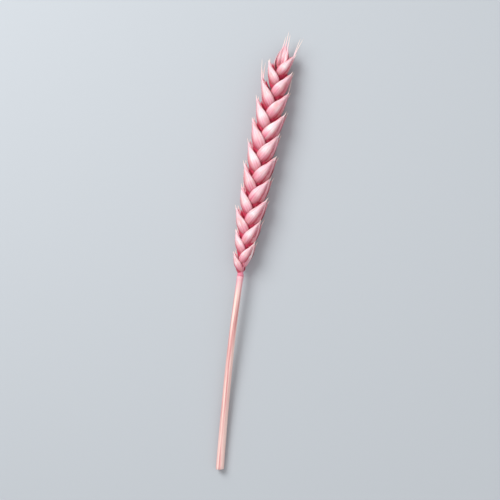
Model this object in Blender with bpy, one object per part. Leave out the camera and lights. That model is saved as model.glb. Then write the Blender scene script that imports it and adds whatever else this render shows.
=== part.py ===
"""One ear of dyed, dried wheat on the upper part of its cut straw, lying on a surface.

The straw lies along +Y and the ear's tip points towards +Y. The spikelets stand in two rows, to -X
and +X, each spreading its husks up and down. Metres, +Z up, with the origin on the surface under
the middle of the whole.
"""

import math
import random
from dataclasses import dataclass

import bmesh
import bpy
from mathutils import Matrix, Vector

MM = 0.001
SEED = 338

# Along the whole, measured from the straw's cut end.
STRAW_LENGTH = 80 * MM
JOINT_GAP = 0.3 * MM
FIRST_SPIKELET = 2.6 * MM
INTERNODE = 4.5 * MM
CROWDING = 4.0 * MM
CROWDED_SPIKELETS = 3.0
SPIKELETS = 20
TERMINAL_STEP = 1.6 * MM
RACHIS_LENGTH = FIRST_SPIKELET + (SPIKELETS - 1) * INTERNODE - CROWDING + TERMINAL_STEP
WHOLE_LENGTH = STRAW_LENGTH + RACHIS_LENGTH

# How the whole lies: height of the centre line, its bow to the side, and its roll about itself,
# which sets down one row near the neck and the other near the tip.
FOOT_HEIGHT = 1.6 * MM
EAR_HEIGHT = 4.85 * MM
BOW = 3.2 * MM
ROLL_AT_NECK = math.radians(-7)
ROLL_AT_TIP = math.radians(6)

# Straw.
STRAW_R_FOOT = 1.65 * MM
STRAW_R_NECK = 1.3 * MM
COLLAR_R = 1.5 * MM
COLLAR_LENGTH = 2.5 * MM
STRAW_SIDES = 12
STRAW_STEP = 4 * MM

# Axis of the ear, flattened and stepped from side to side.
RACHIS_R_FOOT = 1.4 * MM
RACHIS_R_TIP = 0.8 * MM
RACHIS_STEP_ASIDE = 0.45 * MM
RACHIS_SIDES = 6

# Share of the ear's length, and size of the spikelets there.
SPIKELET_SIZES = (
    (0.0, 0.6), (0.1, 0.78), (0.25, 0.93), (0.45, 1.0), (0.65, 1.03), (0.82, 0.96), (0.93, 0.86),
    (1.0, 0.76),
)
SIZE_SPREAD = 0.035
LEAN_SPREAD = math.radians(2.5)

# A husk is broadest at this share of its length. From there it tapers, roundly at first.
BROADEST = 0.40
FOOT_SWELL = 0.10
TAPER_ROUNDNESS = 1.75
TAPER_POINT = 1.15
KEEL_NARROWNESS = 6
HOLLOW_SIDE = 0.62
STEP_AHEAD = 0.01

# Thin awns on the uppermost husks, which leave them between the husk's direction and the ear's.
FIRST_AWNED = 15
AWNED_SHARE = 0.4
AWN_LENGTH = (3.0 * MM, 8.0 * MM)
AWN_HEADING_FROM = 0.85
AWN_ROOT_R = 0.36 * MM
AWN_SUNK = 1.6 * MM
AWN_UPRIGHT = 1.1
AWN_SIDES = 3

# Block below the surface, cut away from what dips into it.
SLAB_SIZE = 0.4

SHARP_ANGLE = math.radians(40)

EAR_PINK = (0.77, 0.36, 0.43, 1.0)
STRAW_CREAM = (0.82, 0.52, 0.47, 1.0)
EAR_ROUGHNESS = 0.75
STRAW_ROUGHNESS = 0.55


def mm(out, along, across):
    return Vector((out, along, across)) * MM


@dataclass
class Husk:
    """A full-size husk's centre line, as distances out from the axis, along it and across it."""

    foot: Vector
    belly: Vector
    tip: Vector
    facing: Vector
    half_width: float
    thickness: float
    keel: float
    sides: int
    rings: int


GLUME = Husk(
    foot=mm(-0.8, -1.5, 1.2), belly=mm(2.2, 3.4, 4.9), tip=mm(5.6, 9.2, 3.3),
    facing=Vector((0.25, 0.0, 0.97)), half_width=2.6 * MM, thickness=1.25 * MM, keel=0.25 * MM,
    sides=8, rings=4,
)
FLORET = Husk(
    foot=mm(0.6, -0.8, 0.8), belly=mm(2.9, 4.6, 3.2), tip=mm(6.3, 11.0, 2.3),
    facing=Vector((0.6, 0.0, 0.8)), half_width=2.22 * MM, thickness=1.25 * MM, keel=0.12 * MM,
    sides=5, rings=4,
)
MIDDLE = Husk(
    foot=mm(0.6, -3.0, 0.0), belly=mm(3.8, 2.0, 0.0), tip=mm(5.9, 11.3, 0.0),
    facing=Vector((1.0, 0.0, 0.0)), half_width=2.6 * MM, thickness=1.4 * MM, keel=0.12 * MM,
    sides=6, rings=3,
)
HEART = Husk(
    foot=mm(-0.2, -3.6, 0.0), belly=mm(1.7, 1.6, 0.0), tip=mm(4.2, 10.4, 0.0),
    facing=Vector((1.0, 0.0, 0.0)), half_width=3.15 * MM, thickness=2.85 * MM, keel=0.0,
    sides=5, rings=3,
)
TERMINAL_SIZE = 0.84
TERMINAL_GLUME = Husk(
    foot=mm(0.0, -2.2, 0.4), belly=mm(0.9, 2.2, 2.9), tip=mm(0.8, 9.4, 2.2),
    facing=Vector((0.5, 0.0, 0.87)), half_width=2.1 * MM, thickness=1.2 * MM, keel=0.25 * MM,
    sides=8, rings=4,
)
TERMINAL_FLORET = Husk(
    foot=mm(0.0, -0.4, 0.2), belly=mm(0.2, 4.6, 1.8), tip=mm(0.3, 12.0, 1.1),
    facing=Vector((0.6, 0.0, 0.8)), half_width=1.95 * MM, thickness=1.25 * MM, keel=0.12 * MM,
    sides=6, rings=4,
)
TERMINAL_MIDDLE = Husk(
    foot=mm(0.0, 0.8, 0.0), belly=mm(0.8, 6.2, 0.0), tip=mm(0.2, 13.6, 0.0),
    facing=Vector((1.0, 0.0, 0.0)), half_width=1.75 * MM, thickness=1.35 * MM, keel=0.12 * MM,
    sides=6, rings=4,
)


def clear_scene():
    for obj in list(bpy.data.objects):
        bpy.data.objects.remove(obj)


def spikelet_distance(number):
    """How far along the whole a spikelet stands; those at the foot of the ear are crowded."""
    crowded = CROWDING * (1 - math.exp(-number / CROWDED_SPIKELETS))
    return STRAW_LENGTH + JOINT_GAP + FIRST_SPIKELET + number * INTERNODE - crowded


def interpolate(table, share):
    """Value at a share, from rows of share and value."""
    for (low, value), (high, next_value) in zip(table, table[1:]):
        if share <= high:
            return value + (next_value - value) * (share - low) / (high - low)
    return table[-1][1]


def centre_line(distance):
    """Middle of the straw or the ear's axis, at a distance from the cut end."""
    share = distance / WHOLE_LENGTH
    climb = min(max(distance / STRAW_LENGTH, 0.0), 1.0)
    climb = climb * climb * (3 - 2 * climb)
    bow = -4 * BOW * share * (1 - share)
    return Vector((bow, distance, FOOT_HEIGHT + (EAR_HEIGHT - FOOT_HEIGHT) * climb))


def frame_at(distance, turn=0.0):
    """Matrix whose columns are out (side), along and across (up), with the place as its origin."""
    place = centre_line(distance)
    along = (centre_line(distance + MM) - centre_line(distance - MM)).normalized()
    out = along.cross(Vector((0, 0, 1))).normalized()
    share = min(max((distance - STRAW_LENGTH) / RACHIS_LENGTH, 0.0), 1.0)
    roll = ROLL_AT_NECK + (ROLL_AT_TIP - ROLL_AT_NECK) * share + turn
    out = Matrix.Rotation(roll, 3, along) @ out
    across = out.cross(along)
    columns = Matrix((out, along, across)).transposed().to_4x4()
    return Matrix.Translation(place) @ columns


def swell(share):
    """How much of a husk's full width it has, at a share of its length."""
    if share < BROADEST:
        return math.sqrt(1 - (1 - FOOT_SWELL) * (1 - share / BROADEST) ** 2)
    past = (share - BROADEST) / (1 - BROADEST)
    return (1 - past**TAPER_ROUNDNESS) ** TAPER_POINT


def husk_centre(husk, share):
    rest = 1 - share
    return husk.foot * rest * rest + husk.belly * 2 * share * rest + husk.tip * share * share


def close_mesh(bm, rings, tip=None):
    """Faces between rings of vertices, with each end closed flat or drawn to a point."""
    for ring, upper in zip(rings, rings[1:]):
        for i in range(len(ring)):
            j = (i + 1) % len(ring)
            bm.faces.new((ring[i], ring[j], upper[j], upper[i]))
    bm.faces.new(list(reversed(rings[0])))
    if tip is None:
        bm.faces.new(rings[-1])
        return
    point = bm.verts.new(tip)
    last = rings[-1]
    for i in range(len(last)):
        bm.faces.new((last[i], last[(i + 1) % len(last)], point))


def mesh_object(name, bm):
    bmesh.ops.recalc_face_normals(bm, faces=bm.faces)
    mesh = bpy.data.meshes.new(name)
    bm.to_mesh(mesh)
    bm.free()
    return bpy.data.objects.new(name, mesh)


def husk_object(husk, frame, mirror, size):
    """A boat-shaped husk: rounded and keeled outside, flatter inside, drawn to a point."""
    flip = Vector((1, 1, mirror))
    facing = husk.facing * flip
    bm = bmesh.new()
    rings = []
    for step in range(husk.rings):
        share = step / husk.rings
        centre = husk_centre(husk, share) * flip
        ahead = (husk_centre(husk, share + STEP_AHEAD) * flip - centre).normalized()
        sideways = ahead.cross(facing).normalized()
        outward = sideways.cross(ahead)
        ring = []
        for side in range(husk.sides):
            angle = 2 * math.pi * side / husk.sides
            lift = math.sin(angle) * husk.thickness
            lift += husk.keel * math.sin(angle) ** KEEL_NARROWNESS if lift > 0 else lift * (HOLLOW_SIDE - 1)
            offset = sideways * math.cos(angle) * husk.half_width + outward * lift
            ring.append(bm.verts.new(frame @ ((centre + offset * swell(share)) * size)))
        rings.append(ring)
    close_mesh(bm, rings, tip=frame @ (husk.tip * flip * size))
    return mesh_object("husk", bm)


def awn_object(husk, frame, mirror, size, length):
    """A three-sided needle with its root sunk in a husk's tip."""
    flip = Vector((1, 1, mirror))
    heading = ((husk.tip - husk_centre(husk, AWN_HEADING_FROM)) * flip).normalized()
    heading = (heading + Vector((0, AWN_UPRIGHT, 0))).normalized()
    root = husk.tip * flip * size - heading * AWN_SUNK
    aside = heading.cross(Vector((1, 0, 0))).normalized()
    over = aside.cross(heading)
    bm = bmesh.new()
    ring = []
    for side in range(AWN_SIDES):
        angle = 2 * math.pi * side / AWN_SIDES
        offset = (aside * math.cos(angle) + over * math.sin(angle)) * AWN_ROOT_R
        ring.append(bm.verts.new(frame @ (root + offset)))
    close_mesh(bm, [ring], tip=frame @ (root + heading * (AWN_SUNK + length)))
    return mesh_object("awn", bm)


def spikelet_objects(draw, number):
    """Two glumes, two outer florets and a middle one round a small heart, on alternate sides."""
    share = number / (SPIKELETS - 1)
    turn = 0.0 if number % 2 else math.pi
    frame = frame_at(spikelet_distance(number), turn)
    frame = frame @ Matrix.Rotation(draw.uniform(-LEAN_SPREAD, LEAN_SPREAD), 4, "Z")
    frame = frame @ Matrix.Rotation(draw.uniform(-LEAN_SPREAD, LEAN_SPREAD), 4, "X")
    size = interpolate(SPIKELET_SIZES, share) * (1 + draw.uniform(-SIZE_SPREAD, SIZE_SPREAD))
    parts = [husk_object(HEART, frame, 1, size)]
    for husk, mirrors in ((GLUME, (1, -1)), (FLORET, (1, -1)), (MIDDLE, (1,))):
        for mirror in mirrors:
            parts.append(husk_object(husk, frame, mirror, size))
            if number >= FIRST_AWNED and husk is not GLUME and draw.random() < AWNED_SHARE:
                parts.append(awn_object(husk, frame, mirror, size, draw.uniform(*AWN_LENGTH)))
    return parts


def terminal_objects(draw):
    """The spikelet that ends the ear, turned a quarter round from the others."""
    frame = frame_at(STRAW_LENGTH + JOINT_GAP + RACHIS_LENGTH, math.pi / 2)
    kinds = ((TERMINAL_GLUME, (1, -1)), (TERMINAL_FLORET, (1, -1)), (TERMINAL_MIDDLE, (1,)))
    parts = []
    for husk, mirrors in kinds:
        for mirror in mirrors:
            parts.append(husk_object(husk, frame, mirror, TERMINAL_SIZE))
            if husk is not TERMINAL_GLUME:
                length = draw.uniform(*AWN_LENGTH)
                parts.append(awn_object(husk, frame, mirror, TERMINAL_SIZE, length))
    return parts


def rachis_object():
    """The ear's own axis, stepping aside towards each spikelet."""
    bm = bmesh.new()
    rings = []
    for number in range(-1, SPIKELETS + 1):
        distance = STRAW_LENGTH + JOINT_GAP
        if number >= 0:
            distance = spikelet_distance(number)
        if number == SPIKELETS:
            distance = STRAW_LENGTH + JOINT_GAP + RACHIS_LENGTH
        frame = frame_at(distance)
        aside = 0.0 if number < 0 else RACHIS_STEP_ASIDE * (1 if number % 2 else -1)
        radius = RACHIS_R_FOOT + (RACHIS_R_TIP - RACHIS_R_FOOT) * max(number, 0) / SPIKELETS
        ring = []
        for side in range(RACHIS_SIDES):
            angle = 2 * math.pi * side / RACHIS_SIDES
            local = Vector((aside + radius * math.cos(angle), 0, radius * math.sin(angle)))
            ring.append(bm.verts.new(frame @ local))
        rings.append(ring)
    close_mesh(bm, rings)
    return mesh_object("ear", bm)


def straw_radius(distance):
    """Slim below the ear, a little wider at the cut end and at the collar that meets the ear."""
    share = distance / STRAW_LENGTH
    radius = STRAW_R_FOOT + (STRAW_R_NECK - STRAW_R_FOOT) * share
    into_collar = max(0.0, 1 - (STRAW_LENGTH - distance) / COLLAR_LENGTH)
    return radius + (COLLAR_R - STRAW_R_NECK) * into_collar**2


def straw_object():
    bm = bmesh.new()
    steps = round((STRAW_LENGTH - COLLAR_LENGTH) / STRAW_STEP)
    distances = [(STRAW_LENGTH - COLLAR_LENGTH) * i / steps for i in range(steps + 1)]
    distances += [STRAW_LENGTH - COLLAR_LENGTH / 2, STRAW_LENGTH]
    rings = []
    for distance in distances:
        frame = frame_at(distance)
        ring = []
        radius = straw_radius(distance)
        for side in range(STRAW_SIDES):
            angle = 2 * math.pi * side / STRAW_SIDES
            local = Vector((radius * math.cos(angle), 0, radius * math.sin(angle)))
            ring.append(bm.verts.new(frame @ local))
        rings.append(ring)
    close_mesh(bm, rings)
    return mesh_object("straw", bm)


def apply_modifiers(obj):
    """Replace the object's mesh by its evaluated one."""
    graph = bpy.context.evaluated_depsgraph_get()
    mesh = bpy.data.meshes.new_from_object(obj.evaluated_get(graph))
    obj.modifiers.clear()
    obj.data = mesh


def union_with(obj, parts):
    """Fuse the parts into the object with one Boolean on their collection."""
    group = bpy.data.collections.new("fused")
    bpy.context.scene.collection.children.link(group)
    for part in parts:
        group.objects.link(part)
    union = obj.modifiers.new("fuse", "BOOLEAN")
    union.operation = "UNION"
    union.operand_type = "COLLECTION"
    union.collection = group
    union.solver = "MANIFOLD"
    apply_modifiers(obj)
    for part in parts:
        bpy.data.objects.remove(part)
    bpy.data.collections.remove(group)


def drop_scraps(obj):
    """Keep the one body that holds most of the vertices."""
    bm = bmesh.new()
    bm.from_mesh(obj.data)
    unseen = set(bm.verts)
    bodies = []
    while unseen:
        body = set()
        frontier = [unseen.pop()]
        while frontier:
            vertex = frontier.pop()
            body.add(vertex)
            beside = {edge.other_vert(vertex) for edge in vertex.link_edges} & unseen
            unseen -= beside
            frontier += beside
        bodies.append(body)
    largest = max(bodies, key=len)
    scraps = [vertex for vertex in bm.verts if vertex not in largest]
    bmesh.ops.delete(bm, geom=scraps, context="VERTS")
    bm.to_mesh(obj.data)
    bm.free()


def cut_at_surface(obj):
    """Trim what dips below z = 0 to small flat spots that the whole rests on."""
    bm = bmesh.new()
    bmesh.ops.create_cube(bm, size=SLAB_SIZE)
    bmesh.ops.translate(bm, verts=bm.verts, vec=(0, WHOLE_LENGTH / 2, -SLAB_SIZE / 2))
    slab = mesh_object("slab", bm)
    bpy.context.scene.collection.objects.link(slab)
    cut = obj.modifiers.new("cut", "BOOLEAN")
    cut.operation = "DIFFERENCE"
    cut.object = slab
    cut.solver = "MANIFOLD"
    apply_modifiers(obj)
    bpy.data.objects.remove(slab)


def shade_rounded(obj):
    obj.data.shade_smooth()
    obj.data.set_sharp_from_angle(angle=SHARP_ANGLE)


def give_material(obj, colour, roughness):
    material = bpy.data.materials.new(obj.name)
    material.use_nodes = True
    shader = material.node_tree.nodes["Principled BSDF"]
    shader.inputs["Base Color"].default_value = colour
    shader.inputs["Roughness"].default_value = roughness
    shader.inputs["Metallic"].default_value = 0.0
    obj.data.materials.clear()
    obj.data.materials.append(material)


def centre_on_origin(objects):
    """Shift the meshes so that the middle of their box stands over the origin."""
    corners = [vertex.co for obj in objects for vertex in obj.data.vertices]
    shift = Vector((0, 0, 0))
    for axis in (0, 1):
        values = [corner[axis] for corner in corners]
        shift[axis] = -(min(values) + max(values)) / 2
    for obj in objects:
        obj.data.transform(Matrix.Translation(shift))


def main():
    clear_scene()
    draw = random.Random(SEED)
    ear = rachis_object()
    straw = straw_object()
    for obj in (ear, straw):
        bpy.context.scene.collection.objects.link(obj)
    husks = []
    for number in range(SPIKELETS):
        husks += spikelet_objects(draw, number)
    husks += terminal_objects(draw)
    union_with(ear, husks)
    for obj in (ear, straw):
        cut_at_surface(obj)
        drop_scraps(obj)
        shade_rounded(obj)
    centre_on_origin((ear, straw))
    give_material(ear, EAR_PINK, EAR_ROUGHNESS)
    give_material(straw, STRAW_CREAM, STRAW_ROUGHNESS)


main()
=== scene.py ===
import math
import random

import bpy
from mathutils import Matrix, Vector


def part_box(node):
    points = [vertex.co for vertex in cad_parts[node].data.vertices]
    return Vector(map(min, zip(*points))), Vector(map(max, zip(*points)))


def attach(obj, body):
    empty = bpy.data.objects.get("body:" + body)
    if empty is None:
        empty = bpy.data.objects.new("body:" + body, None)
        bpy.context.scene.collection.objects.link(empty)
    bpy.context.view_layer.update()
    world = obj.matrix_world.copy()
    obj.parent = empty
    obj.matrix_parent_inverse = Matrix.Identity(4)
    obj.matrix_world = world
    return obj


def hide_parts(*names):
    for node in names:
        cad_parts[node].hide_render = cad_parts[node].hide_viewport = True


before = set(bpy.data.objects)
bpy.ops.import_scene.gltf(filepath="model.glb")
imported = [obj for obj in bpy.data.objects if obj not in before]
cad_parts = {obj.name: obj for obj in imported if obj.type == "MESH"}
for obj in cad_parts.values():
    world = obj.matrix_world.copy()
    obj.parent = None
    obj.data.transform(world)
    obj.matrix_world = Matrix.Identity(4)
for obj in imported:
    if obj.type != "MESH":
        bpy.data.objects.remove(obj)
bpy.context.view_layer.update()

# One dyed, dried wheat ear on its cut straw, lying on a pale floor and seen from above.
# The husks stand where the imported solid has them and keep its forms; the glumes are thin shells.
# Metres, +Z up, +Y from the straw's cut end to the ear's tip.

MM = 0.001
SEED = 338

# Places along the whole, measured from the straw's cut end.
STRAW_LENGTH = 80 * MM
JOINT_GAP = 0.3 * MM
FIRST_SPIKELET = 2.6 * MM
INTERNODE = 4.5 * MM
CROWDING = 4.0 * MM
CROWDED_SPIKELETS = 3.0
SPIKELETS = 20
TERMINAL_STEP = 1.6 * MM
RACHIS_LENGTH = FIRST_SPIKELET + (SPIKELETS - 1) * INTERNODE - CROWDING + TERMINAL_STEP
WHOLE_LENGTH = STRAW_LENGTH + RACHIS_LENGTH

# How the whole lies.
FOOT_HEIGHT = 1.6 * MM
EAR_HEIGHT = 4.85 * MM
BOW = 3.2 * MM
ROLL_AT_NECK = math.radians(-7)
ROLL_AT_TIP = math.radians(6)

# Straw.
STRAW_R_FOOT = 1.65 * MM
STRAW_R_NECK = 1.3 * MM
COLLAR_R = 1.5 * MM
COLLAR_LENGTH = 2.5 * MM
STRAW_WALL = 0.36 * MM
BORE_DEPTH = 9 * MM
BORE_TAPER = 0.25
BORE_RINGS = 6
LIP_ROUND = 0.1 * MM
LIP_RIDGED = 0.5
CUT_SLANT = math.radians(9)
CUT_TURN = math.radians(57)
SLANT_REACH = 3 * MM
STRAW_RIDGES = 22
RIDGE_SHARE = 0.022
STRAW_SIDES = STRAW_RIDGES * 4
STRAW_STEP = 1.4 * MM

# Axis of the ear.
RACHIS_R_FOOT = 1.4 * MM
RACHIS_R_TIP = 0.8 * MM
RACHIS_STEP_ASIDE = 0.45 * MM
RACHIS_SIDES = 16
RACHIS_RINGS = 6
RACHIS_WAIST = 0.16
RACHIS_INTO_STRAW = 0.8 * MM
RACHIS_ROOT_SHARE = 0.8

# Spikelets.
SPIKELET_SIZES = (
    (0.0, 0.6), (0.1, 0.78), (0.25, 0.93), (0.45, 1.0), (0.65, 1.03), (0.82, 0.96), (0.93, 0.86),
    (1.0, 0.76),
)
TERMINAL_SIZE = 0.84
SIZE_SPREAD = 0.035
LEAN_SPREAD = math.radians(2.5)

# Husks.
BROADEST = 0.40
FOOT_SWELL = 0.10
TAPER_ROUNDNESS = 1.75
TAPER_POINT = 1.15
KEEL_NARROWNESS = 6
HOLLOW_SIDE = 0.62
STEP_AHEAD = 0.01
BACK_STEPS = 28
INNER_STEPS = 8
HUSK_RINGS = 22
SHELL = 0.24 * MM
NERVES = 7
NERVE_HEIGHT = 0.055 * MM
NERVE_START = 0.08
WIDTH_SPREAD = 0.05
TIP_SPREAD = 0.25 * MM

# Awns, long on some of the uppermost husks and short points on the rest.
FIRST_AWNED = 15
AWNED_SHARE = 0.4
AWN_LENGTH = (3.0 * MM, 8.0 * MM)
POINT_LENGTH = (0.2 * MM, 1.5 * MM)
AWN_HEADING_FROM = 0.85
AWN_UPRIGHT = 1.1
POINT_UPRIGHT = 0.25
AWN_ROOT_R = 0.26 * MM
AWN_TIP_R = 0.04 * MM
AWN_SUNK = 1.6 * MM
AWN_SIDES = 6
AWN_RINGS = 7
AWN_BEND = 0.06

# Fine hairs on the husks' backs, as shares of the husk's length and in true sizes.
HAIRS = 16
HAIR_SHARES = (0.3, 0.96)
HAIR_LEAN = (0.35, 0.9)
HAIR_LENGTH = (0.35 * MM, 0.9 * MM)
HAIR_SUNK = 0.15 * MM
HAIR_R = 0.035 * MM
HAIR_TIP_R = HAIR_R / 3
HAIR_BEND = 0.15
HAIR_SIDES = 3
HAIR_RINGS = 3

# A direction that no awn or hair lies along.
ASIDE = Vector((0.3, 0.2, 0.9))
# The tint of a body that stands alone, and the middle of a body's width, where its tip is.
EVEN_TINT = 0.5
HALFWAY = 0.5

# The lowest spikelets have none below to hide their feet, so their hearts and florets are coloured as the
# glumes are, without the deeper painted shade that hidden hearts and florets get.
PALE_SPIKELETS = 2

# View and light.
LEAN_IN_PICTURE = math.radians(9)
VIEW_TO_RIGHT = math.radians(12)
VIEW_DISTANCE = 0.80
VIEW_HEIGHT = 0.205
SENSOR = 36.0
CLIP_START = 0.01
FLOOR_SIZE = 3.0
# Name, place, size and power of each soft light.
LIGHTS = (
    ("key", (-0.36, 0.30, 0.50), 0.50, 4.4),
    ("fill", (0.45, -0.10, 0.50), 0.80, 1.2),
)
LIGHT_UP = Vector((0, 1, 0.01))
WORLD_COLOUR = (0.94, 0.95, 0.97, 1.0)
WORLD_STRENGTH = 0.50


def mm(out, along, across):
    return Vector((out, along, across)) * MM


def husk_form(foot, belly, tip, facing, half_width, thickness, keel):
    return {
        "foot": mm(*foot), "belly": mm(*belly), "tip": mm(*tip), "facing": Vector(facing),
        "half_width": half_width * MM, "thickness": thickness * MM, "keel": keel * MM,
    }


GLUME = husk_form((-0.8, -1.5, 1.2), (2.2, 3.4, 4.9), (5.6, 9.2, 3.3), (0.25, 0, 0.97), 2.6, 1.25, 0.25)
FLORET = husk_form((0.6, -0.8, 0.8), (2.9, 4.6, 3.2), (6.3, 11.0, 2.3), (0.6, 0, 0.8), 2.22, 1.25, 0.12)
MIDDLE = husk_form((0.6, -3.0, 0), (3.8, 2.0, 0), (5.9, 11.3, 0), (1, 0, 0), 2.6, 1.4, 0.12)
HEART = husk_form((-0.2, -3.6, 0), (1.7, 1.6, 0), (4.2, 10.4, 0), (1, 0, 0), 3.0, 2.75, 0)
END_GLUME = husk_form((0, -2.2, 0.4), (0.9, 2.2, 2.9), (0.8, 9.4, 2.2), (0.5, 0, 0.87), 2.1, 1.2, 0.25)
END_FLORET = husk_form((0, -0.4, 0.2), (0.2, 4.6, 1.8), (0.3, 12.0, 1.1), (0.6, 0, 0.8), 1.95, 1.25, 0.12)
END_MIDDLE = husk_form((0, 0.8, 0), (0.8, 6.2, 0), (0.2, 13.6, 0), (1, 0, 0), 1.75, 1.35, 0.12)


# Frames along the straw and the ear

def interpolate(table, share):
    """Value at a share, from rows of share and value."""
    for (low, value), (high, next_value) in zip(table, table[1:]):
        if share <= high:
            return value + (next_value - value) * (share - low) / (high - low)
    return table[-1][1]


def spikelet_distance(number):
    """How far along the whole a spikelet stands; those at the foot of the ear are crowded."""
    crowded = CROWDING * (1 - math.exp(-number / CROWDED_SPIKELETS))
    return STRAW_LENGTH + JOINT_GAP + FIRST_SPIKELET + number * INTERNODE - crowded


def centre_line(distance):
    """Middle of the straw or the ear's axis, at a distance from the cut end."""
    share = distance / WHOLE_LENGTH
    climb = min(max(distance / STRAW_LENGTH, 0.0), 1.0)
    climb = climb * climb * (3 - 2 * climb)
    bow = -4 * BOW * share * (1 - share)
    return Vector((bow, distance, FOOT_HEIGHT + (EAR_HEIGHT - FOOT_HEIGHT) * climb))


def frame_at(distance, turn=0.0):
    """Matrix whose columns are out (side), along and across (up), with the place as its origin."""
    place = centre_line(distance)
    along = (centre_line(distance + MM) - centre_line(distance - MM)).normalized()
    out = along.cross(Vector((0, 0, 1))).normalized()
    share = min(max((distance - STRAW_LENGTH) / RACHIS_LENGTH, 0.0), 1.0)
    roll = ROLL_AT_NECK + (ROLL_AT_TIP - ROLL_AT_NECK) * share + turn
    out = Matrix.Rotation(roll, 3, along) @ out
    across = out.cross(along)
    columns = Matrix((out, along, across)).transposed().to_4x4()
    return Matrix.Translation(place) @ columns


# Meshes gathered ring by ring

class Shape:
    """The bodies of one piece, each vertex with a place across and along its body and a tint."""

    def __init__(self):
        self.places = []
        self.faces = []
        self.surface = []
        self.tints = []

    def add_vertex(self, place, across, along, tint):
        self.places.append(Vector((place.x, place.y, max(place.z, 0.0))))
        self.surface.append((across, along))
        self.tints.append(tint)
        return len(self.places) - 1

    def add_body(self, rings, tint, tip=None):
        """Loft rings of (place, across, along), closed at the foot and flat or pointed at the end."""
        numbers = [[self.add_vertex(*spot, tint) for spot in ring] for ring in rings]
        for ring, upper in zip(numbers, numbers[1:]):
            for i in range(len(ring)):
                j = (i + 1) % len(ring)
                self.faces.append((ring[i], ring[j], upper[j], upper[i]))
        self.faces.append(tuple(reversed(numbers[0])))
        last = numbers[-1]
        if tip is None:
            self.faces.append(tuple(last))
            return
        point = self.add_vertex(tip, HALFWAY, 1.0, tint)
        for i in range(len(last)):
            self.faces.append((last[i], last[(i + 1) % len(last)], point))

    def piece(self, name, material, slot, replaced):
        mesh = bpy.data.meshes.new(name)
        mesh.from_pydata([tuple(place) for place in self.places], [], self.faces)
        corners = [loop.vertex_index for loop in mesh.loops]
        surface = mesh.uv_layers.new(name="surface")
        surface.data.foreach_set("uv", [value for i in corners for value in self.surface[i]])
        tint = mesh.uv_layers.new(name="tint")
        tint.data.foreach_set("uv", [value for i in corners for value in (self.tints[i], HALFWAY)])
        mesh.shade_smooth()
        mesh.materials.append(material)
        mesh.validate()
        obj = bpy.data.objects.new(name, mesh)
        bpy.context.scene.collection.objects.link(obj)
        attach(obj, "root")
        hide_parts(replaced)
        return obj


# Husks

def swell(share):
    """How much of a husk's full width it has, at a share of its length."""
    if share < BROADEST:
        return math.sqrt(1 - (1 - FOOT_SWELL) * (1 - share / BROADEST) ** 2)
    past = (share - BROADEST) / (1 - BROADEST)
    return (1 - past**TAPER_ROUNDNESS) ** TAPER_POINT


def husk_centre(husk, share):
    rest = 1 - share
    return husk["foot"] * rest * rest + husk["belly"] * 2 * share * rest + husk["tip"] * share * share


def husk_section(husk, share, shell):
    """Spots round a husk as (sideways, outward, across): its nerved back, then its inner side."""
    spots = []
    fade = math.sin(math.pi * min(1.0, NERVE_START + share)) ** 0.5
    for step in range(BACK_STEPS + 1):
        angle = math.pi * step / BACK_STEPS
        nerve = (0.5 + 0.5 * math.cos(2 * NERVES * (angle - math.pi / 2))) ** 2
        lift = math.sin(angle) * husk["thickness"] + husk["keel"] * math.sin(angle) ** KEEL_NARROWNESS
        lift += NERVE_HEIGHT * nerve * fade * math.sin(angle) ** 0.5 if 0 < step < BACK_STEPS else 0
        spots.append((math.cos(angle) * husk["half_width"], lift, step / BACK_STEPS))
    for step in range(1, INNER_STEPS):
        angle = math.pi * (1 - step / INNER_STEPS)
        if shell:
            lift = math.sin(angle) * (husk["thickness"] - SHELL)
            width = husk["half_width"] - SHELL
        else:
            lift = -math.sin(angle) * husk["thickness"] * HOLLOW_SIDE
            width = husk["half_width"]
        spots.append((math.cos(angle) * width, lift, 1 - step / INNER_STEPS))
    return spots


class PlacedHusk:
    """A husk in its spikelet's frame, a little wider or slimmer than the next, with its tip nudged."""

    def __init__(self, husk, frame_here, mirror, size, draw):
        self.husk = husk
        self.frame = frame_here
        self.mirror = mirror
        self.size = size
        self.flip = Vector((1, 1, mirror))
        self.width = 1 + draw.uniform(-WIDTH_SPREAD, WIDTH_SPREAD)
        self.nudge = Vector([draw.uniform(-TIP_SPREAD, TIP_SPREAD) for _ in range(3)])

    def centre(self, share):
        return husk_centre(self.husk, share) * self.flip + self.nudge * share**3

    def axes(self, share):
        """Directions ahead, sideways and outward at a share of the husk's length."""
        ahead = (self.centre(share + STEP_AHEAD) - self.centre(share)).normalized()
        sideways = ahead.cross(self.husk["facing"] * self.flip).normalized()
        return ahead, sideways, sideways.cross(ahead)

    def place(self, share, aside, lift):
        """A point beside and above the husk's middle line, in the scene."""
        sideways, outward = self.axes(share)[1:]
        offset = sideways * aside * self.width + outward * lift
        return self.frame @ ((self.centre(share) + offset * swell(share)) * self.size)


def add_husk(shape, placed, draw, shell):
    rings = []
    for step in range(HUSK_RINGS):
        share = step / HUSK_RINGS
        ring = []
        for aside, lift, across in husk_section(placed.husk, share, shell):
            across = across if placed.mirror > 0 else 1 - across
            ring.append((placed.place(share, aside, lift), across, share))
        rings.append(ring)
    tip = placed.frame @ (placed.centre(1.0) * placed.size)
    shape.add_body(rings, draw.random(), tip=tip)


def add_needle(shape, root, heading, bend, root_r, tip_r, sides, steps, tint):
    """A fine tapering body from its root along a heading, bent more and more towards its tip."""
    aside = heading.cross(ASIDE).normalized()
    over = aside.cross(heading.normalized())
    rings = []
    for step in range(steps):
        share = step / steps
        centre = root + heading * share + bend * share * share
        radius = root_r + (tip_r - root_r) * share
        ring = []
        for side in range(sides):
            angle = 2 * math.pi * side / sides
            offset = (aside * math.cos(angle) + over * math.sin(angle)) * radius
            ring.append((centre + offset, side / sides, share))
        rings.append(ring)
    shape.add_body(rings, tint, tip=root + heading + bend)


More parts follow.
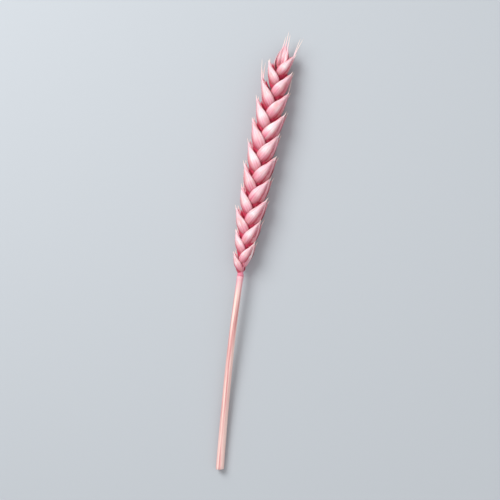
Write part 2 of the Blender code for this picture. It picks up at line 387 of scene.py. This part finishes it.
def add_awn(shape, husk, frame_here, mirror, size, length, upright, draw):
    """A slightly bent bristle with its root sunk in a husk's tip."""
    flip = Vector((1, 1, mirror))
    heading = ((husk["tip"] - husk_centre(husk, AWN_HEADING_FROM)) * flip).normalized()
    heading = (heading + Vector((0, upright, 0))).normalized()
    root = husk["tip"] * flip * size - heading * AWN_SUNK
    whole = AWN_SUNK + length
    turned = frame_here.to_3x3()
    bend = Vector([draw.uniform(-1, 1) for _ in range(3)]) * whole * AWN_BEND
    add_needle(
        shape, frame_here @ root, turned @ heading * whole, turned @ bend,
        AWN_ROOT_R, AWN_TIP_R, AWN_SIDES, AWN_RINGS, draw.random(),
    )


def add_hairs(shape, placed, draw):
    """Short fine hairs that lean towards the husk's tip, most of them near its edges."""
    husk = placed.husk
    turned = placed.frame.to_3x3()
    for _ in range(HAIRS):
        share = draw.uniform(*HAIR_SHARES)
        off_middle = draw.choice((-1, 1)) * math.sqrt(draw.random())
        angle = math.pi / 2 * (1 + off_middle)
        aside = math.cos(angle) * husk["half_width"]
        lift = math.sin(angle) * husk["thickness"]
        ahead, sideways, outward = placed.axes(share)
        away = sideways * math.cos(angle) + outward * math.sin(angle)
        heading = turned @ (ahead + away * draw.uniform(*HAIR_LEAN)).normalized()
        root = placed.place(share, aside, lift) - heading * HAIR_SUNK
        whole = HAIR_SUNK + draw.uniform(*HAIR_LENGTH)
        bend = Vector([draw.uniform(-1, 1) for _ in range(3)]) * whole * HAIR_BEND
        add_needle(
            shape, root, heading * whole, bend,
            HAIR_R, HAIR_TIP_R, HAIR_SIDES, HAIR_RINGS, draw.random(),
        )


def add_spikelets(glumes, florets, hearts, awns, hairs):
    """All spikelets, from the same draws as the solid, with fine differences from draws of their own."""
    draw = random.Random(SEED)
    fine = random.Random(SEED + 1)
    hair = random.Random(SEED + 2)
    for number in range(SPIKELETS):
        turn = 0.0 if number % 2 else math.pi
        here = frame_at(spikelet_distance(number), turn)
        here = here @ Matrix.Rotation(draw.uniform(-LEAN_SPREAD, LEAN_SPREAD), 4, "Z")
        here = here @ Matrix.Rotation(draw.uniform(-LEAN_SPREAD, LEAN_SPREAD), 4, "X")
        size = interpolate(SPIKELET_SIZES, number / (SPIKELETS - 1))
        size *= 1 + draw.uniform(-SIZE_SPREAD, SIZE_SPREAD)
        is_pale = number < PALE_SPIKELETS
        heart = PlacedHusk(HEART, here, 1, size, fine)
        add_husk(glumes if is_pale else hearts, heart, fine, False)
        for husk, mirrors in ((GLUME, (1, -1)), (FLORET, (1, -1)), (MIDDLE, (1,))):
            for mirror in mirrors:
                is_glume = husk is GLUME
                placed = PlacedHusk(husk, here, mirror, size, fine)
                add_husk(glumes if is_glume or is_pale else florets, placed, fine, is_glume)
                add_hairs(hairs, placed, hair)
                if is_glume:
                    continue
                length = fine.uniform(*POINT_LENGTH)
                upright = POINT_UPRIGHT
                if number >= FIRST_AWNED and draw.random() < AWNED_SHARE:
                    length = draw.uniform(*AWN_LENGTH)
                    upright = AWN_UPRIGHT
                add_awn(awns, husk, here, mirror, size, length, upright, fine)
    # The spikelet that ends the ear is turned a quarter round and has no heart.
    here = frame_at(STRAW_LENGTH + JOINT_GAP + RACHIS_LENGTH, math.pi / 2)
    for husk, mirrors in ((END_GLUME, (1, -1)), (END_FLORET, (1, -1)), (END_MIDDLE, (1,))):
        for mirror in mirrors:
            is_glume = husk is END_GLUME
            placed = PlacedHusk(husk, here, mirror, TERMINAL_SIZE, fine)
            add_husk(glumes, placed, fine, is_glume)
            add_hairs(hairs, placed, hair)
            if not is_glume:
                length = draw.uniform(*AWN_LENGTH)
                add_awn(awns, husk, here, mirror, TERMINAL_SIZE, length, AWN_UPRIGHT, fine)


# Axis and straw

def add_rachis(shape):
    """The jointed axis: flat segments that step aside and widen to a lip under each spikelet."""
    neck = STRAW_LENGTH + JOINT_GAP
    root_r = RACHIS_R_FOOT * RACHIS_ROOT_SHARE
    stations = [(STRAW_LENGTH - RACHIS_INTO_STRAW, 0.0, root_r), (neck, 0.0, RACHIS_R_FOOT)]
    for number in range(SPIKELETS):
        aside = RACHIS_STEP_ASIDE * (1 if number % 2 else -1)
        radius = RACHIS_R_FOOT + (RACHIS_R_TIP - RACHIS_R_FOOT) * number / SPIKELETS
        stations.append((spikelet_distance(number), aside, radius))
    stations.append((neck + RACHIS_LENGTH, 0.0, RACHIS_R_TIP))
    rings = []
    for (low, low_aside, low_r), (high, high_aside, high_r) in zip(stations, stations[1:]):
        for step in range(RACHIS_RINGS):
            share = step / RACHIS_RINGS
            here = frame_at(low + (high - low) * share)
            aside = low_aside + (high_aside - low_aside) * share
            waist = 1 - RACHIS_WAIST * math.sin(math.pi * share)
            radius = (low_r + (high_r - low_r) * share) * waist
            ring = []
            for side in range(RACHIS_SIDES):
                angle = 2 * math.pi * side / RACHIS_SIDES
                local = Vector((aside + radius * math.cos(angle), 0, radius * math.sin(angle)))
                ring.append((here @ local, side / RACHIS_SIDES, share))
            rings.append(ring)
    shape.add_body(rings, EVEN_TINT)


def straw_radius(distance):
    share = distance / STRAW_LENGTH
    radius = STRAW_R_FOOT + (STRAW_R_NECK - STRAW_R_FOOT) * share
    into_collar = max(0.0, 1 - (STRAW_LENGTH - distance) / COLLAR_LENGTH)
    return radius + (COLLAR_R - STRAW_R_NECK) * into_collar**2


def straw_ring(distance, radius, ridged, slant):
    here = frame_at(distance)
    ring = []
    for side in range(STRAW_SIDES):
        angle = 2 * math.pi * side / STRAW_SIDES
        reach = radius * (1 + RIDGE_SHARE * (math.cos(STRAW_RIDGES * angle) - 1) * ridged)
        push = slant * reach * math.tan(CUT_SLANT) * (1 + math.cos(angle + CUT_TURN))
        local = Vector((reach * math.cos(angle), push, reach * math.sin(angle)))
        ring.append((here @ local, side / STRAW_SIDES, distance / STRAW_LENGTH))
    return ring


def add_straw(shape):
    """A ridged tube, hollow at its slanting cut end."""
    bore = STRAW_R_FOOT - STRAW_WALL
    rings = []
    for step in range(BORE_RINGS, -1, -1):
        share = step / BORE_RINGS
        rings.append(straw_ring(BORE_DEPTH * share, bore * (1 - BORE_TAPER * share), 0, 1 - share))
    rings.append(straw_ring(0.0, STRAW_R_FOOT - LIP_ROUND, LIP_RIDGED, 1))
    steps = round(STRAW_LENGTH / STRAW_STEP)
    for step in range(steps + 1):
        distance = LIP_ROUND + (STRAW_LENGTH - LIP_ROUND) * step / steps
        rings.append(straw_ring(distance, straw_radius(distance), 1, max(0.0, 1 - distance / SLANT_REACH)))
    shape.add_body(rings, EVEN_TINT)


# Materials

def srgb(red, green, blue):
    """Linear colour from an sRGB one given in 0 to 255."""
    linear = []
    for value in (red, green, blue):
        value /= 255
        linear.append(value / 12.92 if value <= 0.04045 else ((value + 0.055) / 1.055) ** 2.4)
    return (*linear, 1.0)


# Sockets of the Mix node that carry its share and its colours.
MIX_SHARE = 0
MIX_FIRST = 6
MIX_SECOND = 7
MIX_COLOUR = 2
# How far apart in the noise two bodies of unlike tint are taken.
TINT_STRIDE = 40.0


class Look:
    """A material and the short calls that its node tree is written with."""

    def __init__(self, name, roughness):
        self.material = bpy.data.materials.new(name)
        self.material.use_nodes = True
        self.tree = self.material.node_tree
        self.shader = self.tree.nodes["Principled BSDF"]
        self.shader.inputs["Roughness"].default_value = roughness

    def link(self, source, target):
        self.tree.links.new(source, target)

    def node(self, kind, **values):
        node = self.tree.nodes.new(kind)
        for name, value in values.items():
            setattr(node, name, value)
        return node

    def surface(self, layer):
        split = self.node("ShaderNodeSeparateXYZ")
        self.link(self.node("ShaderNodeUVMap", uv_map=layer).outputs["UV"], split.inputs[0])
        return split.outputs["X"], split.outputs["Y"]

    def math(self, operation, first, second):
        node = self.node("ShaderNodeMath", operation=operation)
        for socket, value in zip(node.inputs, (first, second)):
            if isinstance(value, (int, float)):
                socket.default_value = value
            else:
                self.link(value, socket)
        return node.outputs[0]

    def ramp(self, share, stops):
        ramp = self.node("ShaderNodeValToRGB")
        elements = ramp.color_ramp.elements
        while len(elements) < len(stops):
            elements.new(HALFWAY)
        for element, (position, colour) in zip(elements, stops):
            element.position = position
            element.color = colour
        self.link(share, ramp.inputs[0])
        return ramp.outputs[0]

    def mix(self, share, first, second, blend="MIX"):
        node = self.node("ShaderNodeMix", data_type="RGBA", blend_type=blend)
        for number, value in ((MIX_SHARE, share), (MIX_FIRST, first), (MIX_SECOND, second)):
            if isinstance(value, (int, float, tuple)):
                node.inputs[number].default_value = value
            else:
                self.link(value, node.inputs[number])
        return node.outputs[MIX_COLOUR]

    def streaks(self, across, along, fineness, length, detail):
        """Noise drawn out along the surface, different on each body."""
        tint = self.surface("tint")[0]
        join = self.node("ShaderNodeCombineXYZ")
        self.link(self.math("MULTIPLY", across, fineness), join.inputs[0])
        self.link(self.math("MULTIPLY", along, length), join.inputs[1])
        self.link(self.math("MULTIPLY", tint, TINT_STRIDE), join.inputs[2])
        noise = self.node("ShaderNodeTexNoise")
        noise.inputs["Scale"].default_value = 1.0
        noise.inputs["Detail"].default_value = detail
        self.link(join.outputs[0], noise.inputs["Vector"])
        return noise.outputs["Fac"]

    def bump(self, height, strength, distance):
        bump = self.node("ShaderNodeBump")
        bump.inputs["Strength"].default_value = strength
        bump.inputs["Distance"].default_value = distance
        self.link(height, bump.inputs["Height"])
        self.link(bump.outputs[0], self.shader.inputs["Normal"])


DEEP = srgb(190, 46, 74)
VIVID = srgb(222, 74, 104)
PINK = srgb(220, 106, 132)
ROSE = srgb(238, 160, 178)
DUSTY = srgb(222, 158, 154)
PALE = srgb(250, 206, 214)
LIGHT = srgb(254, 234, 234)
CREAM = srgb(252, 228, 216)
STRAW_ROSE = srgb(192, 96, 98)
STRAW_BLUSH = srgb(238, 184, 180)
BLACK = (0.0, 0.0, 0.0, 1.0)
WHITE = (1.0, 1.0, 1.0, 1.0)
FLOOR_TONES = ((0.3, (0.47, 0.50, 0.53, 1.0)), (0.7, (0.49, 0.52, 0.55, 1.0)))
FLOOR_SCALE = 6.0
FLOOR_DETAIL = 2.0

# Roughness of each surface.
HUSK_ROUGHNESS = 0.6
HEART_ROUGHNESS = 0.8
AWN_ROUGHNESS = 0.5
HAIR_ROUGHNESS = 0.6
RACHIS_ROUGHNESS = 0.6
STRAW_ROUGHNESS = 0.42
FLOOR_ROUGHNESS = 0.85

# Colour along each kind of husk, from foot to tip: dye, deepened at the foot as painted shade where the foot
# lies tucked under the husk below, and on the glumes lightened over the belly as a painted highlight.
GLUME_DYE_SHADE_AND_HIGHLIGHT = (
    (0.0, DEEP), (0.14, VIVID), (0.26, PINK), (0.38, ROSE), (0.54, LIGHT), (0.80, PALE), (1.0, LIGHT),
)
FLORET_DYE_AND_SHADE = ((0.0, DEEP), (0.38, VIVID), (0.56, PINK), (0.74, ROSE), (1.0, LIGHT))
# Dye and painted shade across a husk, from its lower edge over its back to its upper edge: the painted shade
# is wide on the lower edge, where it stands for the dark line between a husk and the one below, and thin on
# the upper edge.
EDGE_DYE_AND_SHADE = ((0.0, 1.0), (0.19, 0.95), (0.31, 0.45), (0.45, 0.0), (0.82, 0.0), (0.93, 0.5), (1.0, 0.9))
# And how much of that is left from the middle of a husk's length to its tip.
EDGE_DYE_AND_SHADE_ALONG = ((0.55, 1.0), (0.95, 0.4))
GLUME_EDGE_SHARE = 0.9
FLORET_EDGE_SHARE = 0.8

# Streaks, patches and fine grain of each surface, as count across, count along and noise detail.
HUSK_STREAKS = (16.0, 1.4, 3.0)
HUSK_PATCHES = (4.0, 2.2, 2.0)
HUSK_GRAIN = (46.0, 2.0, 2.0)
HEART_STREAKS = (9.0, 3.0, 2.0)
RACHIS_STREAKS = (14.0, 2.0, 3.0)
STRAW_STREAKS = (26.0, 1.4, 4.0)
STRAW_PATCHES = (6.0, 2.2, 2.0)
STRAW_GRAIN = (70.0, 3.0, 2.0)

# How much of each shows, and how deep the grain is.
STREAK_SHARE = 0.34
DUSTY_SHARE = 0.6
STRAW_PATCH_SHARE = 0.5
STRAW_NECK_SHARE = 0.8
HUSK_GRAIN_STRENGTH = 0.35
HUSK_GRAIN_DEPTH = 0.08 * MM
STRAW_GRAIN_STRENGTH = 0.3
STRAW_GRAIN_DEPTH = 0.05 * MM

# The dullest husk's shade, and how light passes through a thin husk.
DULLEST = (0.92, 0.80, 0.84, 1.0)
GLOW = 0.2
GLOW_COLOUR = (1.0, 0.35, 0.4)
GLOW_DEPTH = 0.8 * MM


def greys(table):
    """Ramp stops in grey, from rows of place and share."""
    return [(place, (share, share, share, 1.0)) for place, share in table]


def husk_material(name, stops, edge_share):
    """Dye, deep at the foot and edges and pale on the belly, with painted shade at the tucked foot and
    between husks, a painted highlight on the glumes' bellies, and streaks along the nerves.
    """
    look = Look(name, HUSK_ROUGHNESS)
    across, along = look.surface("surface")
    # Dye along the husk, with painted shade at its foot and, on the glumes, a painted highlight over the
    # belly.
    colour = look.ramp(along, stops)
    streak = look.streaks(across, along, *HUSK_STREAKS)
    streaked = look.ramp(streak, ((0.34, PINK), (0.54, LIGHT)))
    colour = look.mix(STREAK_SHARE, colour, streaked)
    patch = look.ramp(look.streaks(across, along, *HUSK_PATCHES), ((0.50, BLACK), (0.68, WHITE)))
    colour = look.mix(look.math("MULTIPLY", patch, DUSTY_SHARE), colour, DUSTY)
    # Deep margins, partly dye and partly painted shade along the lines between husks.
    edge = look.math("MULTIPLY", look.ramp(across, greys(EDGE_DYE_AND_SHADE)), look.ramp(along, greys(EDGE_DYE_AND_SHADE_ALONG)))
    colour = look.mix(look.math("MULTIPLY", edge, edge_share), colour, DEEP)
    tint = look.surface("tint")[0]
    shade = look.ramp(tint, ((0.0, DULLEST), (1.0, WHITE)))
    colour = look.mix(1.0, colour, shade, "MULTIPLY")
    look.link(colour, look.shader.inputs["Base Color"])
    look.bump(look.streaks(across, along, *HUSK_GRAIN), HUSK_GRAIN_STRENGTH, HUSK_GRAIN_DEPTH)
    look.shader.inputs["Subsurface Weight"].default_value = GLOW
    look.shader.inputs["Subsurface Radius"].default_value = GLOW_COLOUR
    look.shader.inputs["Subsurface Scale"].default_value = GLOW_DEPTH
    return look.material


def glume_material():
    return husk_material("glume_husk", GLUME_DYE_SHADE_AND_HIGHLIGHT, GLUME_EDGE_SHARE)


def floret_material():
    return husk_material("floret_husk", FLORET_DYE_AND_SHADE, FLORET_EDGE_SHARE)


def heart_material():
    """The deep pink inside that shows only in the gaps between husks, partly dye and partly painted shade
    for those gaps.
    """
    look = Look("spikelet_heart", HEART_ROUGHNESS)
    across, along = look.surface("surface")
    streak = look.streaks(across, along, *HEART_STREAKS)
    # Deep pink, partly dye and partly painted shade for the gaps between husks.
    look.link(look.ramp(streak, ((0.35, DEEP), (0.65, VIVID))), look.shader.inputs["Base Color"])
    return look.material


def awn_material():
    look = Look("awn_bristle", AWN_ROUGHNESS)
    along = look.surface("surface")[1]
    look.link(look.ramp(along, ((0.1, PALE), (0.7, CREAM))), look.shader.inputs["Base Color"])
    return look.material


def hair_material():
    look = Look("husk_hair", HAIR_ROUGHNESS)
    tint = look.surface("tint")[0]
    look.link(look.ramp(tint, ((0.0, PALE), (1.0, CREAM))), look.shader.inputs["Base Color"])
    return look.material


def rachis_material():
    look = Look("rachis_axis", RACHIS_ROUGHNESS)
    across, along = look.surface("surface")
    streak = look.streaks(across, along, *RACHIS_STREAKS)
    look.link(look.ramp(streak, ((0.35, PINK), (0.65, ROSE))), look.shader.inputs["Base Color"])
    return look.material


def straw_material():
    """Cream straw with pink dye in long streaks, slightly glossy."""
    look = Look("straw_stem", STRAW_ROUGHNESS)
    across, along = look.surface("surface")
    streak = look.streaks(across, along, *STRAW_STREAKS)
    fine = look.ramp(streak, ((0.35, STRAW_ROSE), (0.48, STRAW_BLUSH), (0.58, CREAM)))
    patch = look.streaks(across, along, *STRAW_PATCHES)
    patchy = look.ramp(patch, ((0.36, STRAW_ROSE), (0.46, STRAW_BLUSH), (0.55, CREAM)))
    colour = look.mix(STRAW_PATCH_SHARE, fine, patchy)
    neck = look.ramp(along, ((0.90, BLACK), (1.0, WHITE)))
    colour = look.mix(look.math("MULTIPLY", neck, STRAW_NECK_SHARE), colour, ROSE)
    look.link(colour, look.shader.inputs["Base Color"])
    look.bump(look.streaks(across, along, *STRAW_GRAIN), STRAW_GRAIN_STRENGTH, STRAW_GRAIN_DEPTH)
    return look.material


# Stage, light and camera

def floor_material():
    look = Look("floor_pale", FLOOR_ROUGHNESS)
    noise = look.node("ShaderNodeTexNoise")
    noise.inputs["Scale"].default_value = FLOOR_SCALE
    noise.inputs["Detail"].default_value = FLOOR_DETAIL
    look.link(look.ramp(noise.outputs["Fac"], FLOOR_TONES), look.shader.inputs["Base Color"])
    return look.material


def add_floor():
    half = FLOOR_SIZE / 2
    mesh = bpy.data.meshes.new("floor")
    corners = [(-half, -half, 0), (half, -half, 0), (half, half, 0), (-half, half, 0)]
    mesh.from_pydata(corners, [], [(0, 1, 2, 3)])
    mesh.materials.append(floor_material())
    floor = bpy.data.objects.new("floor", mesh)
    bpy.context.scene.collection.objects.link(floor)


def aim(obj, place, target, up):
    """Stand an object at a place, looking at a target with a given up in the picture."""
    ahead = (target - place).normalized()
    right = ahead.cross(up).normalized()
    above = right.cross(ahead)
    turned = Matrix((right, above, -ahead)).transposed().to_4x4()
    obj.matrix_world = Matrix.Translation(place) @ turned


def add_light(name, place, size, power, target):
    light = bpy.data.lights.new(name, "AREA")
    light.shape = "DISK"
    light.size = size
    light.energy = power
    obj = bpy.data.objects.new(name, light)
    bpy.context.scene.collection.objects.link(obj)
    aim(obj, Vector(place), target, LIGHT_UP)


def add_world():
    world = bpy.data.worlds.new("studio")
    world.use_nodes = True
    background = world.node_tree.nodes["Background"]
    background.inputs["Color"].default_value = WORLD_COLOUR
    background.inputs["Strength"].default_value = WORLD_STRENGTH
    bpy.context.scene.world = world


def show_colours_plainly():
    """No film curve, which would grey the pale dye."""
    bpy.context.scene.view_settings.view_transform = "Standard"


def add_camera(target):
    data = bpy.data.cameras.new("camera")
    data.sensor_width = SENSOR
    data.lens = SENSOR * VIEW_DISTANCE / VIEW_HEIGHT
    data.clip_start = CLIP_START
    camera = bpy.data.objects.new("camera", data)
    bpy.context.scene.collection.objects.link(camera)
    away = Vector((math.sin(VIEW_TO_RIGHT), 0, math.cos(VIEW_TO_RIGHT)))
    up = Vector((-math.sin(LEAN_IN_PICTURE), math.cos(LEAN_IN_PICTURE), 0))
    aim(camera, target + away * VIEW_DISTANCE, target, up)
    bpy.context.scene.camera = camera


def make_pieces():
    """All pieces of the ear and its straw; the straw is the last."""
    glumes = Shape()
    florets = Shape()
    hearts = Shape()
    awns = Shape()
    hairs = Shape()
    rachis = Shape()
    straw = Shape()
    add_spikelets(glumes, florets, hearts, awns, hairs)
    add_rachis(rachis)
    add_straw(straw)
    return [
        glumes.piece("ear_glumes", glume_material(), "ear", "ear"),
        florets.piece("ear_florets", floret_material(), "ear", "ear"),
        hearts.piece("ear_hearts", heart_material(), "ear", "ear"),
        awns.piece("ear_awns", awn_material(), "ear", "ear"),
        hairs.piece("ear_hairs", hair_material(), "ear", "ear"),
        rachis.piece("ear_rachis", rachis_material(), "ear", "ear"),
        straw.piece("straw_stem", straw_material(), "straw", "straw"),
    ]


def shift_to_frame(pieces, straw):
    """Bring the pieces, made from the cut end on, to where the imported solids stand."""
    low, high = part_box("straw")
    places = [vertex.co for vertex in straw.data.vertices]
    shift = Vector((0, 0, 0))
    for axis in (0, 1):
        values = [place[axis] for place in places]
        shift[axis] = (low[axis] + high[axis]) / 2 - (min(values) + max(values)) / 2
    for piece in pieces:
        piece.data.transform(Matrix.Translation(shift))


pieces = make_pieces()
shift_to_frame(pieces, straw=pieces[-1])

middle = Vector((0, 0, EAR_HEIGHT))
add_floor()
add_world()
show_colours_plainly()
for name, place, size, power in LIGHTS:
    add_light(name, place, size, power, middle)
add_camera(middle)
